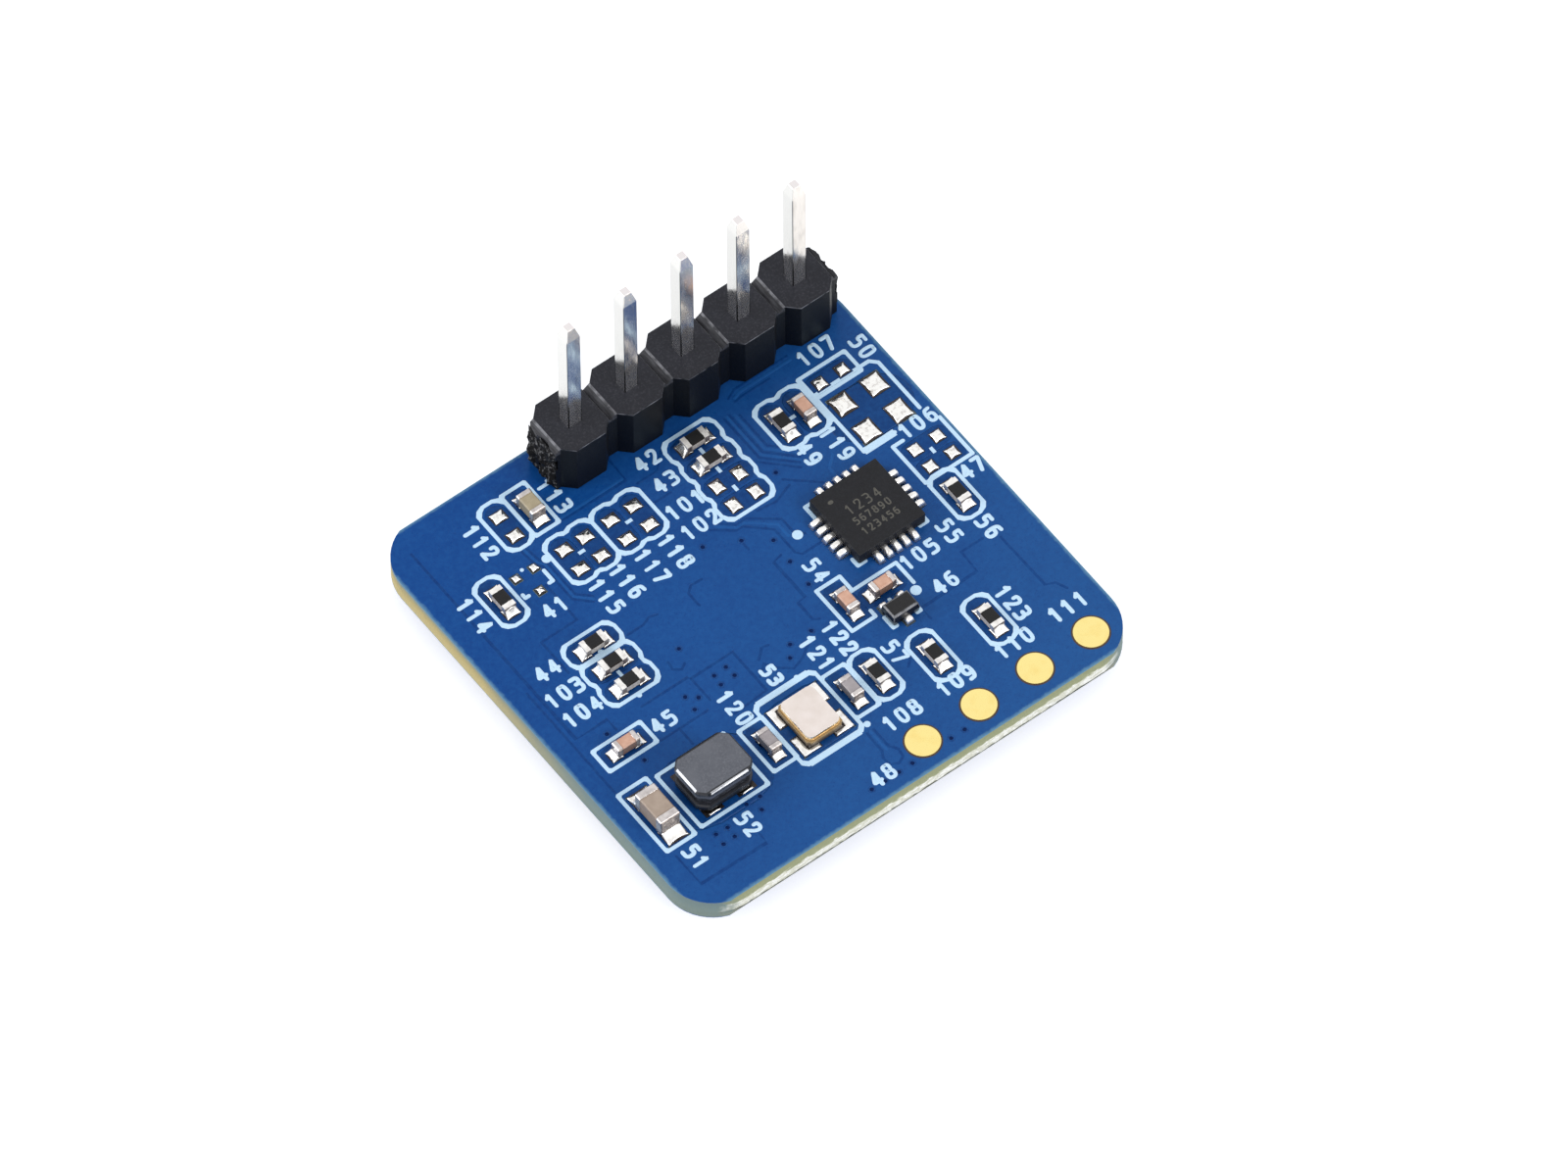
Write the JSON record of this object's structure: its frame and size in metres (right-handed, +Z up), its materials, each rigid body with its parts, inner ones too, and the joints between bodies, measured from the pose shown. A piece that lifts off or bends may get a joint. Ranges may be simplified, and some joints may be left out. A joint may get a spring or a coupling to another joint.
{
  "type": "radar sensor module",
  "caption": "Small square blue circuit board with rounded corners, an upright pin header along one edge, chip parts on one face and a radar chip with patch aerials under it.",
  "frame": {"origin": "middle of the board, level with the cut ends of the header's tails, which are the lowest points", "axes": "+X along the header's row, +Y towards the board's edge that carries the header, +Z up the pins, square to the board"},
  "size_m": [0.02, 0.02, 0.0105],
  "materials": {
    "laminate": "glass-fibre laminate, sawn and routed edge",
    "blue_mask": "blue solder mask, satin gloss",
    "white_print": "white ink",
    "tinned_copper": "tinned copper",
    "solder": "bright tin solder",
    "gold_plate": "thin gold on nickel and copper",
    "black_moulding": "black moulded plastic",
    "pin_metal": "brass pins with bright tin plating",
    "chip_moulding": "black moulding compound",
    "ferrite": "grey ferrite",
    "copper_wire": "enamelled copper wire",
    "resin": "grey resin",
    "crystal_ceramic": "dark alumina",
    "lid_metal": "warm grey metal lid",
    "resistor_glaze": "alumina chip with black glaze, tinned ends",
    "tan_ceramic": "tan fired ceramic with tinned ends",
    "orange_ceramic": "orange fired ceramic with tinned ends",
    "grey_ceramic": "grey fired ceramic with tinned ends"
  },
  "bodies": {
    "root": {"board_laminate": "laminate", "solder_mask_top": "blue_mask", "solder_mask_underside": "blue_mask", "printed_frames": "white_print", "part_lands": "tinned_copper", "empty_land_solder": "solder", "test_pads": "gold_plate", "header_barrels": "gold_plate", "header_housing": "black_moulding", "header_solder": "solder", "mcu_body": "chip_moulding", "mcu_leads": "tinned_copper", "mcu_solder": "solder", "aerial_copper": "gold_plate", "radar_chip_body": "chip_moulding", "radar_chip_leads": "tinned_copper", "radar_chip_solder": "solder", "inductor_core": "ferrite", "inductor_winding": "copper_wire", "inductor_resin": "resin", "inductor_terminals": "tinned_copper", "crystal_base": "crystal_ceramic", "crystal_seal_ring": "gold_plate", "crystal_lid": "lid_metal", "transistor_body": "chip_moulding", "transistor_leads": "tinned_copper", "large_part_solder": "solder", "chip_part_solder": "solder", "header_pin_1": "pin_metal", "header_pin_2": "pin_metal", "header_pin_3": "pin_metal", "header_pin_4": "pin_metal", "header_pin_5": "pin_metal", "resistor_1": "resistor_glaze", "resistor_2": "resistor_glaze", "resistor_3": "resistor_glaze", "resistor_4": "resistor_glaze", "resistor_5": "resistor_glaze", "resistor_6": "resistor_glaze", "resistor_7": "resistor_glaze", "resistor_8": "resistor_glaze", "resistor_9": "resistor_glaze", "resistor_10": "resistor_glaze", "resistor_11": "resistor_glaze", "capacitor_1": "tan_ceramic", "capacitor_2": "tan_ceramic", "capacitor_3": "orange_ceramic", "capacitor_4": "orange_ceramic", "capacitor_5": "orange_ceramic", "capacitor_6": "orange_ceramic", "capacitor_7": "grey_ceramic", "capacitor_8": "grey_ceramic"}
  },
  "joints": []
}
